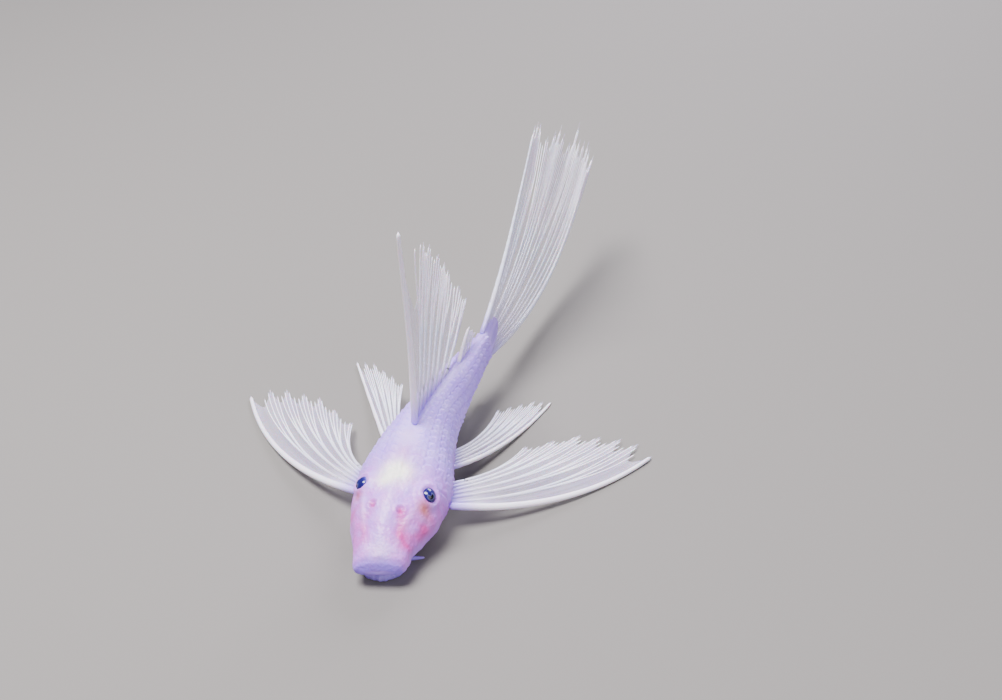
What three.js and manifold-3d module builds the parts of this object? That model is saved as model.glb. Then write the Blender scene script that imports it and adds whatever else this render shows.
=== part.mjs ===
// A young long-finned bristlenose pleco, pale and pink, lying on its sucker mouth and its paired fins with
// its tail lifted and swung to its left. Millimetres, +Z up. The head points to -Y and the fish's left side
// to +X.
import * as THREE from "three";
import { mergeVertices } from "three/addons/utils/BufferGeometryUtils.js";
import Module from "manifold-3d";

const wasm = await Module();
wasm.setup();

// Driving sizes of the whole fish
const BODY_LENGTH = 42;
const SWING = 20;
const HEAD_TURN = 9;
const SNOUT_SIDE = -1.3;
// The snout's end is pressed to its left, so its front edge slants: both fade out by this place
const SNOUT_PRESS = { shift: 1.2, slant: 0.3, until: 6 };
const HEAD_PITCH = 2.3;
const TAIL_PITCH = 12.5;
const BEND_START = 8;
const HEAD_TURN_FROM = 4;
const HEAD_TURN_LENGTH = 12;
const BELLY_CLEARANCE = 1;
const GAP = 0.3;

// The body's outline at a few places along it: half width, height of the back, height of the widest level
// and height of the belly, all above the belly line
const STATIONS = [
  { at: 0, half: 2.0, top: 2.0, widest: 1.6, belly: 1.2 },
  { at: 0.3, half: 2.8, top: 2.9, widest: 1.7, belly: 0.9 },
  { at: 1, half: 3.2, top: 3.8, widest: 1.8, belly: 0.7 },
  { at: 3, half: 3.7, top: 5.1, widest: 2.0, belly: 0.6 },
  { at: 6, half: 4.9, top: 6.5, widest: 2.2, belly: 0.5 },
  { at: 9.5, half: 5.7, top: 7.6, widest: 2.4, belly: 0.1 },
  { at: 13.5, half: 6.1, top: 8.5, widest: 2.6, belly: 0 },
  { at: 18.5, half: 5.1, top: 9.1, widest: 2.9, belly: 0 },
  { at: 24, half: 3.9, top: 8.6, widest: 3.2, belly: 0 },
  { at: 30, half: 2.9, top: 7.4, widest: 3.4, belly: 0.4 },
  { at: 36, half: 2.1, top: 6.3, widest: 3.5, belly: 1 },
  { at: 42, half: 1.4, top: 5.9, widest: 3.4, belly: 0.9 },
];
const BACK_ROUNDNESS = 2.2;
const BELLY_ROUNDNESS = 3.4;

// Where the three lengths of the body part
const HEAD_END = 13;
const HEAD_END_SLANT = 2.4;
const TRUNK_END = 29;
const STALK_END = BODY_LENGTH - GAP;

// The features of the head: how far from the middle, how far along, how high above the belly line
const EYE = { side: 4.05, at: 9.9, height: 5.95, radius: 1.15 };
const NOSTRIL = { side: 1.85, at: 6.5, height: 6.15, radius: 0.45 };
const MOUTH = { at: 4.4, wide: 3.6, long: 3.7, recess: 0.5, slit: 1.5, slitHeight: 0.45 };
const BARBEL = { side: 3.5, at: 5.4, height: 0.7, length: 1.5, thick: 0.4, tip: 0.16 };

// The fins: half the thickness of a ray and of the membrane between two rays
const RAY_HALF = 0.42;
const WEB_HALF = 0.26;
const TIP_HALF = 0.14;

// The bony plates: how far a plate's rear edge stands out and how deep its root lies in the flesh
const PLATE = { rise: 0.32, front: 0.06, root: 0.6, gap: 0.24, rows: 4, pitch: 2.9, pointed: 0.55 };
const GROOVE_HALF = 1;
const TRUNK_PLATES = { start: 15.9, end: 28.9, foot: 72, rearFoot: 96, rearFrom: 16 };
const STALK_PLATES = { start: 29.6, end: 41.6, foot: 128 };

const degrees = THREE.MathUtils.degToRad;
const mix = THREE.MathUtils.lerp;
const ease = (t) => THREE.MathUtils.smoothstep(t, 0, 1);
const bump = (distance, width) => Math.exp(-((distance / width) ** 2));

// A smooth curve through one size of the stations, which never overshoots them
function along(key) {
  const n = STATIONS.length;
  const rise = [];
  for (let i = 0; i < n - 1; i++) {
    const [a, b] = [STATIONS[i], STATIONS[i + 1]];
    rise.push((b[key] - a[key]) / (b.at - a.at));
  }
  const slope = STATIONS.map((_, i) => {
    if (i === 0) return rise[0];
    if (i === n - 1) return rise[n - 2];
    const [p, q] = [rise[i - 1], rise[i]];
    return p * q <= 0 ? 0 : (2 * p * q) / (p + q);
  });
  return (s) => {
    const place = THREE.MathUtils.clamp(s, 0, BODY_LENGTH);
    let i = 0;
    while (i < n - 2 && place > STATIONS[i + 1].at) i++;
    const [a, b] = [STATIONS[i], STATIONS[i + 1]];
    const h = b.at - a.at;
    const t = (place - a.at) / h;
    return (
      a[key] * (1 + 2 * t) * (1 - t) ** 2 +
      slope[i] * h * t * (1 - t) ** 2 +
      b[key] * t * t * (3 - 2 * t) +
      slope[i + 1] * h * t * t * (t - 1)
    );
  };
}
const halfWidth = along("half");
const backHeight = along("top");
const widestHeight = along("widest");
const bellyHeight = along("belly");

// The belly line: under the head it points a little to the right, then it swings to the left and rises
function heading(s) {
  const t = THREE.MathUtils.clamp((s - BEND_START) / (BODY_LENGTH - BEND_START), 0, 1);
  const headTurn = HEAD_TURN * (1 - ease((s - HEAD_TURN_FROM) / HEAD_TURN_LENGTH));
  const yaw = degrees(SWING * ease(t) + headTurn);
  const pitch = degrees(mix(HEAD_PITCH, TAIL_PITCH, t));
  const ahead = new THREE.Vector3(
    Math.sin(yaw) * Math.cos(pitch),
    Math.cos(yaw) * Math.cos(pitch),
    Math.sin(pitch),
  );
  const left = new THREE.Vector3(Math.cos(yaw), -Math.sin(yaw), 0);
  return { ahead, left, up: new THREE.Vector3().crossVectors(left, ahead) };
}
const STEP = 0.25;
const bellyLine = [new THREE.Vector3(SNOUT_SIDE, 0, BELLY_CLEARANCE)];
for (let s = STEP; s <= BODY_LENGTH; s += STEP)
  bellyLine.push(bellyLine.at(-1).clone().addScaledVector(heading(s - STEP / 2).ahead, STEP));

// The frame of the body at one place along it
function frameAt(s) {
  const frame = heading(s);
  const i = THREE.MathUtils.clamp(Math.floor(s / STEP), 0, bellyLine.length - 1);
  frame.point = bellyLine[i].clone().addScaledVector(frame.ahead, s - i * STEP);
  return frame;
}

// A point of the straight fish, bent with the body
function bend(side, s, height) {
  const { point, ahead, left, up } = frameAt(s);
  const pressed = ease((SNOUT_PRESS.until - s) / SNOUT_PRESS.until);
  point.addScaledVector(ahead, SNOUT_PRESS.slant * side * pressed);
  point.addScaledVector(left, side + SNOUT_PRESS.shift * pressed);
  return point.addScaledVector(up, height);
}

// How far the skin stands out over the bare section: brows, snout ridge, cheeks and nape
function relief(side, s, height) {
  const off = Math.abs(side);
  const eye = Math.hypot(off - EYE.side, s - EYE.at, height - EYE.height);
  const brow = 0.35 * bump(eye - EYE.radius, 0.7);
  const ridge = 0.25 * bump(off, 0.9) * bump(s - 5.5, 3);
  const cheek = 0.3 * bump(off - 5, 1.7) * bump(s - 9, 2.6) * bump(height - 3, 1.6);
  const snoutHollow = -0.25 * bump(off - 2.2, 0.9) * bump(s - 4.5, 2);
  const nape = 0.3 * bump(off, 1.4) * bump(s - 15, 2.2) * (height > 5 ? 1 : 0);
  return brow + ridge + cheek + snoutHollow + nape;
}

// The straight fish's skin: s along it, angle round it from the back (0) over its left side to the belly
// (180 degrees)
function section(s, angle) {
  const level = widestHeight(s);
  const over = Math.cos(angle) >= 0;
  const power = 2 / (over ? BACK_ROUNDNESS : BELLY_ROUNDNESS);
  const side = halfWidth(s) * Math.sign(Math.sin(angle)) * Math.abs(Math.sin(angle)) ** power;
  const rise = Math.abs(Math.cos(angle)) ** power;
  const height = over ? mix(level, backHeight(s), rise) : mix(level, bellyHeight(s), rise);
  return new THREE.Vector2(side, height);
}
function skin(s, angle, lift = 0) {
  const here = section(s, angle);
  const step = 0.02;
  const tangent = section(s, angle + step).sub(section(s, angle - step)).normalize();
  const out = lift + relief(here.x, s, here.y);
  return bend(here.x - tangent.y * out, s, here.y + tangent.x * out);
}

// A closed geometry as a solid whose faces point out
function solid(geometry) {
  const bare = geometry.clone();
  bare.deleteAttribute("normal");
  bare.deleteAttribute("uv");
  const merged = mergeVertices(bare, 1e-4);
  const make = (triVerts) =>
    new wasm.Manifold(
      new wasm.Mesh({ numProp: 3, vertProperties: merged.attributes.position.array, triVerts }),
    );
  const faces = new Uint32Array(merged.index.array);
  const made = make(faces);
  return made.volume() > 0 ? made : make(faces.reverse());
}

// The largest closed surface of a solid, as a geometry
function geometryOf(whole) {
  const largest = whole.decompose().sort((a, b) => b.volume() - a.volume())[0];
  const { numProp, vertProperties, triVerts } = largest.getMesh();
  const interleaved = new THREE.InterleavedBuffer(vertProperties, numProp);
  const geometry = new THREE.BufferGeometry();
  geometry.setAttribute("position", new THREE.InterleavedBufferAttribute(interleaved, 3, 0));
  geometry.setIndex(new THREE.BufferAttribute(triVerts, 1));
  return geometry;
}

// Moves every vertex of a geometry
function warp(geometry, place) {
  const p = geometry.attributes.position;
  for (let i = 0; i < p.count; i++) {
    const moved = place(p.getX(i), p.getY(i), p.getZ(i));
    p.setXYZ(i, moved.x, moved.y, moved.z);
  }
  return geometry;
}

// A length of the body: a drum whose rings follow the skin from one end to the other
function bodyLength(start, end, around, rings, spacing = 1, lift = 0) {
  const drum = new THREE.CylinderGeometry(1, 1, 1, around, rings);
  return solid(
    warp(drum, (x, y, z) => {
      const angle = Math.atan2(x, z);
      const t = (0.5 - y) ** spacing;
      if (Math.hypot(x, z) > 0.5) return skin(mix(start(angle), end(angle), t), angle, lift);
      const centre = mix(start(Math.PI / 2), end(Math.PI / 2), t);
      return bend(0, centre, widestHeight(centre));
    }),
  );
}
const SNOUT_SPACING = 1.4;
const headEnd = (angle) => HEAD_END + HEAD_END_SLANT * Math.cos(angle) - GAP / 2;
const trunkStart = (angle) => headEnd(angle) + GAP;

// A ball at a place in the fish
function ball(place, radius, around = 20, rings = 12) {
  const sphere = new THREE.SphereGeometry(radius, around, rings);
  return solid(sphere.translate(place.x, place.y, place.z));
}

// A sheet of two like faces and the rim between them; each face gives the point at a column and a row
function sheet(columns, rows, face) {
  const points = [];
  for (const side of [1, -1])
    for (let i = 0; i <= columns; i++)
      for (let j = 0; j <= rows; j++) points.push(face(i, j, side));
  const at = (i, j, side) => (side > 0 ? 0 : (columns + 1) * (rows + 1)) + i * (rows + 1) + j;
  const faces = [];
  const quad = (a, b, c, d) => faces.push(a, b, c, a, c, d);
  for (let i = 0; i < columns; i++)
    for (let j = 0; j < rows; j++) {
      const corners = [[i, j], [i + 1, j], [i + 1, j + 1], [i, j + 1]];
      const [a, b, c, d] = corners.map(([x, y]) => at(x, y, 1));
      const [e, f, g, h] = corners.map(([x, y]) => at(x, y, -1));
      faces.push(a, b, c, a, c, d);
      faces.push(e, g, f, e, h, g);
    }
  for (let i = 0; i < columns; i++) {
    quad(at(i, 0, -1), at(i + 1, 0, -1), at(i + 1, 0, 1), at(i, 0, 1));
    quad(at(i + 1, rows, -1), at(i, rows, -1), at(i, rows, 1), at(i + 1, rows, 1));
  }
  for (let j = 0; j < rows; j++) {
    quad(at(0, j + 1, -1), at(0, j, -1), at(0, j, 1), at(0, j + 1, 1));
    quad(at(columns, j, -1), at(columns, j + 1, -1), at(columns, j + 1, 1), at(columns, j, 1));
  }
  const geometry = new THREE.BufferGeometry().setFromPoints(points);
  geometry.setIndex(faces);
  return solid(geometry);
}

// A fin: rays run from the body to their tips, each a ridge, with thin membrane from ray to ray. rays hold
// each tip and the middle of each ray; root gives the fin's foot on the body at a ray number, on either
// face; notches say how far up its rays each membrane reaches
function fin({ rays, root, notches, rows, wide, spine = 1 }) {
  const curves = rays.map(({ middle, tip }, i) => {
    const foot = root(i, 1).add(root(i, -1)).multiplyScalar(0.5);
    const control = middle.clone().multiplyScalar(2).addScaledVector(foot, -0.5).addScaledVector(tip, -0.5);
    return new THREE.QuadraticBezierCurve3(foot, control, tip);
  });
  const surface = (u, v) => {
    const i = THREE.MathUtils.clamp(Math.floor(u), 0, rays.length - 2);
    return curves[i].getPoint(v).lerp(curves[i + 1].getPoint(v), u - i);
  };
  const last = rays.length - 1;
  const normal = (u, v) => {
    const across = surface(Math.min(u + 0.3, last), v).sub(surface(Math.max(u - 0.3, 0), v));
    const outward = surface(u, Math.min(v + 0.03, 1)).sub(surface(u, Math.max(v - 0.03, 0)));
    return across.cross(outward).normalize();
  };
  const facing = Math.sign(normal(last / 2, 0.1).dot(root(last / 2, 1).sub(root(last / 2, -1))));
  // Each ray takes three columns: a flank, the crest and a flank
  const columns = [];
  for (let i = 0; i <= last; i++) {
    const size = i === 0 ? spine : 1;
    columns.push({ ray: i, step: -1, reach: i === 0 ? 0.985 : notches(i - 1), size });
    columns.push({ ray: i, step: 0, reach: 1, size });
    columns.push({ ray: i, step: 1, reach: i === last ? 0.985 : notches(i), size });
  }
  return sheet(columns.length - 1, rows, (c, j, side) => {
    const { ray, step, reach, size } = columns[c];
    const v = (j / rows) ** 1.15 * reach;
    const neighbour = THREE.MathUtils.clamp(ray + step, 0, last);
    const spread = curves[ray].getPoint(v).distanceTo(curves[neighbour].getPoint(v));
    const half = wide * size * mix(1, 0.45, v);
    const share = spread > 0 ? Math.min(half / spread, 0.36) : 0;
    const u = THREE.MathUtils.clamp(ray + step * share, 0, last);
    if (j === 0) return root(u, side);
    const taper = mix(1, TIP_HALF / RAY_HALF, Math.max(0, (v - 0.8) / 0.2));
    const thick = (step === 0 ? RAY_HALF * size : WEB_HALF) * taper;
    const point = surface(u, v);
    if (ray + step < 0 || ray + step > last) {
      const edge = surface(u, Math.min(v + 0.02, 1)).sub(surface(u, Math.max(v - 0.02, 0))).normalize();
      const away = edge.cross(normal(u, v)).multiplyScalar(step * half * 0.6);
      point.add(away);
    }
    point.addScaledVector(normal(u, v), facing * side * thick);
    return point;
  });
}

// Lays what would pass below the floor on it
function layOnFloor(whole) {
  return whole.warp((p) => {
    if (p[2] < 0) p[2] = 0;
  });
}

const fish = new THREE.Group();
const skinMaterial = new THREE.MeshStandardMaterial({ color: 0xe6d3e6, roughness: 0.45 });
const finMaterial = new THREE.MeshStandardMaterial({ color: 0xd9d0e8, roughness: 0.5 });
const eyeMaterial = new THREE.MeshStandardMaterial({ color: 0x1c2a66, roughness: 0.1 });
function add(name, whole, material) {
  const mesh = new THREE.Mesh(geometryOf(whole), material);
  mesh.name = name;
  fish.add(mesh);
}

// A repeatable draw between 0 and 1, for one plate
const draw = (seed) => THREE.MathUtils.seededRandom(seed);

// The bony plates of one length of the body, in rows from the groove along the back down to a lowest angle.
// Each is pointed behind and stands out most at its rear edge, over the front of the next
function plates(start, end, lowest) {
  const made = [];
  const count = Math.round((end - start) / PLATE.pitch);
  const pitch = (end - start) / count;
  for (const side of [1, -1])
    for (let k = 0; k < count; k++)
      for (let row = 0; row < PLATE.rows; row++) {
        const front = start + k * pitch;
        const varied = 1 + 0.25 * (draw(1 + k + 40 * row + 400 * (side + 1) + 10 * start) - 0.5);
        const highest = (GROOVE_HALF / halfWidth(front + pitch)) ** (BACK_ROUNDNESS / 2);
        const step = (degrees(lowest(front)) - highest) / PLATE.rows;
        const length = pitch - PLATE.gap - PLATE.pointed;
        made.push(
          sheet(2, 2, (i, j, face) => {
            const across = i / 2;
            const down = j / 2;
            const point = PLATE.pointed * (1 - (2 * down - 1) ** 2);
            const s = front + across * (length + point);
            const margin = PLATE.gap / 2 / halfWidth(s);
            const angle = mix(highest + step * row + margin, highest + step * (row + 1) - margin, down);
            const rise = mix(PLATE.front, PLATE.rise * varied, across) - (down === 0.5 ? 0 : 0.1);
            return skin(s, side * angle, face > 0 ? rise : -PLATE.root);
          }),
        );
      }
  return made;
}

// The head, with a socket for each eye and a nostril with its flap on each side of the snout
const wholeHead = (lift = 0) => bodyLength(() => 0, headEnd, 36, 22, SNOUT_SPACING, lift);
const eyePlace = (side) => bend(side * EYE.side, EYE.at, EYE.height);
function makeHead() {
  let head = wholeHead();
  for (const side of [1, -1]) {
    head = head.subtract(ball(eyePlace(side), EYE.radius + GAP));
    const pit = bend(side * NOSTRIL.side, NOSTRIL.at, NOSTRIL.height);
    head = head.subtract(ball(pit, NOSTRIL.radius, 12, 8));
    const flap = sheet(3, 2, (i, j, face) => {
      const out = mix(-0.5, 0.5, i / 3) * NOSTRIL.radius * 1.9;
      const lift = mix(-0.9, 0.35 * Math.cos(out * 2), j / 2);
      return bend(side * NOSTRIL.side + out, NOSTRIL.at + face * 0.12 + lift * 0.3, NOSTRIL.height + lift);
    });
    head = head.add(flap);
  }
  return head;
}
add("head", makeHead(), skinMaterial);

// The trunk and the tail stalk, with their plates; the belly is bare
const trunkFoot = (s) => (s < TRUNK_PLATES.rearFrom ? TRUNK_PLATES.foot : TRUNK_PLATES.rearFoot);
const stalkFoot = () => STALK_PLATES.foot;
function plated(whole, made) {
  return made.reduce((joined, plate) => joined.add(plate), whole);
}
const bareTrunk = bodyLength(trunkStart, () => TRUNK_END - GAP / 2, 32, 10);
const bareStalk = bodyLength(() => TRUNK_END + GAP / 2, () => STALK_END, 28, 9);
const trunkPlates = plates(TRUNK_PLATES.start, TRUNK_PLATES.end, trunkFoot);
const stalkPlates = plates(STALK_PLATES.start, STALK_PLATES.end, stalkFoot);
add("trunk", plated(bareTrunk, trunkPlates), skinMaterial);
add("tail_stalk", plated(bareStalk, stalkPlates), skinMaterial);
add("eye_left", ball(eyePlace(1), EYE.radius), eyeMaterial);
add("eye_right", ball(eyePlace(-1), EYE.radius), eyeMaterial);

// The sucker mouth: a round lip with a hollow under it, cut to fit under the head
function makeMouth() {
  const profile = [
    [0, 2.4],
    [0.77, 2.4],
    [0.93, 1.6],
    [1, 0.9],
    [0.95, 0.25],
    [0.86, 0],
    [0.73, 0],
    [0.61, MOUTH.recess],
    [0, MOUTH.recess + 0.15],
  ];
  const points = profile.map(([r, z]) => new THREE.Vector2(r, z));
  const centre = bend(0, MOUTH.at, 0);
  const { left } = frameAt(MOUTH.at);
  const place = (x, y, z) =>
    new THREE.Vector3(centre.x + left.x * x - left.y * y, centre.y + left.y * x + left.x * y, z);
  const disc = new THREE.LatheGeometry(points.reverse(), 36);
  warp(disc, (x, y, z) => place(x * MOUTH.wide, z * MOUTH.long, y));
  const slit = warp(new THREE.SphereGeometry(1, 16, 8), (x, y, z) =>
    place(x * MOUTH.slit, 0.4 + y * MOUTH.slitHeight, MOUTH.recess + z * MOUTH.slitHeight),
  );
  let mouth = solid(disc).subtract(solid(slit));
  for (const side of [1, -1]) {
    const barbel = new THREE.CylinderGeometry(BARBEL.tip, BARBEL.thick, BARBEL.length, 8, 2);
    barbel.rotateZ((-side * Math.PI) / 2).rotateZ(side * 0.25).rotateY(side * -0.5);
    const root = bend(side * (BARBEL.side + BARBEL.length / 4), BARBEL.at, 0);
    mouth = mouth.add(solid(barbel.translate(root.x, root.y, BARBEL.height)));
  }
  return mouth.subtract(wholeHead(GAP));
}
add("mouth_disc", makeMouth(), skinMaterial);

// Tips and middles of a fin's rays, from a few key rays: rows of [ray number, two or three sizes]
function spaced(count, keys, place) {
  return Array.from({ length: count }, (_, i) => {
    let k = 0;
    while (k < keys.length - 2 && i > keys[k + 1][0]) k++;
    const t = (i - keys[k][0]) / (keys[k + 1][0] - keys[k][0]);
    return place(...keys[k].slice(1).map((value, n) => mix(value, keys[k + 1][n + 1], t)));
  });
}

// The fin on the back: ray number, where its tip is behind and above the spine's foot line, and how far its
// middle stands behind the straight line
const DORSAL = { at: 19.5, base: 11, rays: 8 };
const DORSAL_TIPS = [
  [0, 0.5, 39.4, 0.8],
  [1, 8.4, 32.2, 0.6],
  [2, 10.6, 30.2, 0.4],
  [3, 13.1, 26.8, 0.2],
  [5, 17.6, 20.8, 0],
  [6, 22.0, 14.6, -0.2],
  [7, 24.6, 10.4, -0.4],
];
function makeDorsal() {
  const frame = frameAt(DORSAL.at);
  const root = (u, side) => {
    const s = DORSAL.at + (DORSAL.base * u) / (DORSAL.rays - 1);
    return skin(s, (side * RAY_HALF) / 7, GAP);
  };
  const rays = spaced(DORSAL.rays, DORSAL_TIPS, (back, up, bow) => ({ back, up, bow })).map((ray, i) => {
    const tip = frame.point.clone().addScaledVector(frame.ahead, ray.back).addScaledVector(frame.up, ray.up);
    const foot = root(i, 1).add(root(i, -1)).multiplyScalar(0.5);
    const middle = foot.clone().add(tip).multiplyScalar(0.5).addScaledVector(frame.ahead, ray.bow);
    return { tip, middle };
  });
  const notches = (i) => (i === 0 ? 0.62 : 0.93);
  return fin({ rays, root, notches, rows: 9, wide: 0.34, spine: 1.3 });
}
add("dorsal_fin", makeDorsal(), finMaterial);

// The tail fin: ray number, tip behind and above the end of the stalk, and the middle's stand off the
// straight line
const CAUDAL = { rays: 16, turn: -6.6, middle: 3.4, half: 2.3 };
const CAUDAL_TIPS = [
  [0, 23.2, 20.9, 1.2, -1.5],
  [2, 25.4, 20.6, 1.2, -1.8],
  [4, 27.0, 18.8, 1.2, -2.2],
  [5, 29.4, 14.8, 1.0, -2.6],
  [7, 34.0, 13.5, 0.8, -3.2],
  [9, 35.4, 9.2, 0.6, -4.0],
  [10, 39.9, 9.8, 0.5, -4.6],
  [11, 40.4, 5.9, 0.4, -5.1],
  [13, 43.9, 2.8, 0.2, -6.0],
  [15, 46.2, -1.8, 0, -6.6],
];
const CAUDAL_SPLITS = { 4: 0.66, 9: 0.86, 10: 0.86 };
function makeCaudal() {
  const frame = frameAt(BODY_LENGTH);
  const turn = degrees(CAUDAL.turn);
  const back = frame.ahead.clone().multiplyScalar(Math.cos(turn)).addScaledVector(frame.left, Math.sin(turn));
  const root = (u, side) => {
    const height = CAUDAL.middle + mix(CAUDAL.half, -CAUDAL.half, u / (CAUDAL.rays - 1));
    return bend(side * RAY_HALF, BODY_LENGTH, height);
  };
  const centre = bend(0, BODY_LENGTH, CAUDAL.middle);
  const place = (x, up, bowBack, bowUp) => ({ x, up, bowBack, bowUp });
  const rays = spaced(CAUDAL.rays, CAUDAL_TIPS, place).map(({ x, up, bowBack, bowUp }, i) => {
    const tip = centre.clone().addScaledVector(back, x).addScaledVector(frame.up, up);
    const foot = root(i, 1).add(root(i, -1)).multiplyScalar(0.5);
    const middle = foot.clone().add(tip).multiplyScalar(0.5);
    return { tip, middle: middle.addScaledVector(back, bowBack).addScaledVector(frame.up, bowUp) };
  });
  const notches = (i) => CAUDAL_SPLITS[i] ?? 0.94;
  return fin({ rays, root, notches, rows: 9, wide: 0.3, spine: 1.15 });
}
add("caudal_fin", makeCaudal(), finMaterial);

// The small fins of the middle line: where they stand, how long their base is, and their first and last ray
function makeSmallFin({ count, at, base, below, first, last }) {
  const frame = frameAt(at);
  const middleAngle = below ? Math.PI : 0;
  const root = (u, side) => {
    const s = at + (base * u) / (count - 1);
    const turn = RAY_HALF / 3;
    return skin(s, middleAngle + side * (below ? -turn : turn), GAP);
  };
  const rays = Array.from({ length: count }, (_, i) => {
    const t = i / (count - 1);
    const foot = root(i, 1).add(root(i, -1)).multiplyScalar(0.5);
    const reach = mix(first.back, last.back, t);
    const rise = mix(first.up, last.up, t);
    const tip = foot.clone().addScaledVector(frame.ahead, reach).addScaledVector(frame.up, rise);
    return { tip, middle: foot.clone().add(tip).multiplyScalar(0.5).addScaledVector(frame.up, rise * 0.06) };
  });
  return fin({ rays, root, notches: () => 0.9, rows: 6, wide: 0.28, spine: 1.1 });
}
const ANAL = {
  count: 5,
  at: 30.4,
  base: 2.8,
  below: true,
  first: { back: 7.5, up: -3.4 },
  last: { back: 5.4, up: -1.2 },
};
const ADIPOSE = {
  count: 3,
  at: 34.6,
  base: 3,
  below: false,
  first: { back: 4.2, up: 3.3 },
  last: { back: 2.6, up: 1.3 },
};
add("anal_fin", makeSmallFin(ANAL), finMaterial);
add("adipose_fin", makeSmallFin(ADIPOSE), finMaterial);

// The paired fins: ray number, the tip out from the fish's middle, along it and above the floor, and the
// ray's middle likewise. The leading ray is a stout spine that lies along the floor
const PECTORAL = { rays: 7, at: 12.4, base: 2.4, from: 93, to: 82 };
const PECTORAL_TIPS = [
  [0, 27.9, 33.4, 0.42, 18.6, 20.8, 0.9],
  [1, 25.6, 35.4, 0.5, 17.0, 22.2, 1.5],
  [2, 23.1, 35.6, 0.6, 15.6, 22.8, 2.0],
  [4, 17.6, 34.3, 0.9, 12.4, 22.8, 2.6],
  [6, 11.0, 28.8, 1.3, 9.3, 21.0, 3.0],
];
const PECTORAL_TURN = { left: -9, right: 0 };
const PELVIC = { rays: 6, at: 19.9, base: 2.6, from: 118, to: 104 };
const PELVIC_TIPS = {
  left: [
    [0, 15.8, 39.6, 0.42, 10.6, 28.6, 0.8],
    [2, 13.4, 39.2, 0.7, 9.4, 29.2, 1.3],
    [5, 8.6, 34.4, 2.0, 7.2, 28.0, 2.2],
  ],
  right: [
    [0, 14.8, 44.2, 0.5, 8.6, 31.6, 1.0],
    [2, 11.8, 43.2, 1.4, 6.9, 31.6, 1.8],
    [5, 5.6, 37.0, 2.8, 4.6, 29.6, 2.8],
  ],
};
function makePairedFin(side, form, tips, turn) {
  const sign = side === "left" ? 1 : -1;
  const root = (u, face) => {
    const t = u / (form.rays - 1);
    const angle = degrees(mix(form.from, form.to, t) - (face * 3.4 * 7) / halfWidth(form.at));
    return skin(form.at + form.base * t, sign * angle, GAP);
  };
  const pivot = root(0, 1);
  const axis = new THREE.Vector3(0, 0, 1);
  const place = (x, y, z) => {
    const point = new THREE.Vector3(sign * x, y, z).sub(pivot);
    return point.applyAxisAngle(axis, degrees(sign * turn)).add(pivot);
  };
  const rays = spaced(form.rays, tips, (x, y, z, mx, my, mz) => ({
    tip: place(x, y, z),
    middle: place(mx, my, mz),
  }));
  return layOnFloor(fin({ rays, root, notches: () => 0.93, rows: 8, wide: 0.36, spine: 1.5 }));
}
for (const side of ["left", "right"]) {
  add(`pectoral_fin_${side}`, makePairedFin(side, PECTORAL, PECTORAL_TIPS, PECTORAL_TURN[side]), finMaterial);
  add(`pelvic_fin_${side}`, makePairedFin(side, PELVIC, PELVIC_TIPS[side], 0), finMaterial);
}

// The origin is on the floor, under the middle of the fish
const reach = new THREE.Box3().setFromObject(fish);
const middle = reach.getCenter(new THREE.Vector3());
fish.position.set(-middle.x, -middle.y, -reach.min.z);
fish.updateMatrixWorld(true);

export default fish;
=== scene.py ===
# %% [markdown]
# # A young long-finned bristlenose pleco
#
# The fish lies on its sucker mouth and its paired fins, nose down, with the tail lifted and swung to
# its left. The solids from the CAD say where everything is. Here they get the looks: one continuous
# skin with bony plates, clear fins held by branching rays, wet eyes and a soft sucker mouth.
#
# Sizes are in millimetres while a piece is shaped, because that is how a small fish is measured, and
# each mesh is scaled to metres at the end.

import bisect
import math

import bmesh
import bpy
from mathutils import Matrix, Vector, noise


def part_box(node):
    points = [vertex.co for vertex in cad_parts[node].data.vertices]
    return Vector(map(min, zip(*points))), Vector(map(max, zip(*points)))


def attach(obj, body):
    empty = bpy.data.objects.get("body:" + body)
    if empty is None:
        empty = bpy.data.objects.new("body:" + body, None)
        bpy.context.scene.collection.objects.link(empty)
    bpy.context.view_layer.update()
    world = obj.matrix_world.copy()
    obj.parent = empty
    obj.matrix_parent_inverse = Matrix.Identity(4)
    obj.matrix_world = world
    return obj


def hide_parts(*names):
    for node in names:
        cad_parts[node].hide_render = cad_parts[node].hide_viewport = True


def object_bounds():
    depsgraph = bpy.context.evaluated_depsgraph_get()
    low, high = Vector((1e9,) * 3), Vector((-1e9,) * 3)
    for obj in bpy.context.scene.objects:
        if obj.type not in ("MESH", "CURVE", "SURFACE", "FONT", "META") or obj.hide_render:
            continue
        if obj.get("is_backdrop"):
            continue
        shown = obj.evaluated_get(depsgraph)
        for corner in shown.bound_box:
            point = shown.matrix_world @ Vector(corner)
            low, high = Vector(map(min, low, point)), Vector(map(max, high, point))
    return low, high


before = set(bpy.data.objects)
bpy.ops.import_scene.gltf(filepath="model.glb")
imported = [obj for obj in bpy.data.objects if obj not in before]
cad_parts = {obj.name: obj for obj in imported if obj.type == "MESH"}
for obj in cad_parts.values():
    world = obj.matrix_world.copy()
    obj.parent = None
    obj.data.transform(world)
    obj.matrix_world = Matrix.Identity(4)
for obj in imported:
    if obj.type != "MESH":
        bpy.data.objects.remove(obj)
cad_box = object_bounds()
MM = 0.001
print("nodes:", len(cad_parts))

# %% [markdown]
# ## The body's shape
#
# A fish's body is easiest to describe straight: at a few places along it, how wide it is, how high the
# back is, where it is widest and where the belly is. A smooth curve joins those places, and a bent
# middle line then carries them. The body could be sculpted by hand as well, but a few stations are
# easy to measure and to change, and the solids were made from the same ones.

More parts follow.
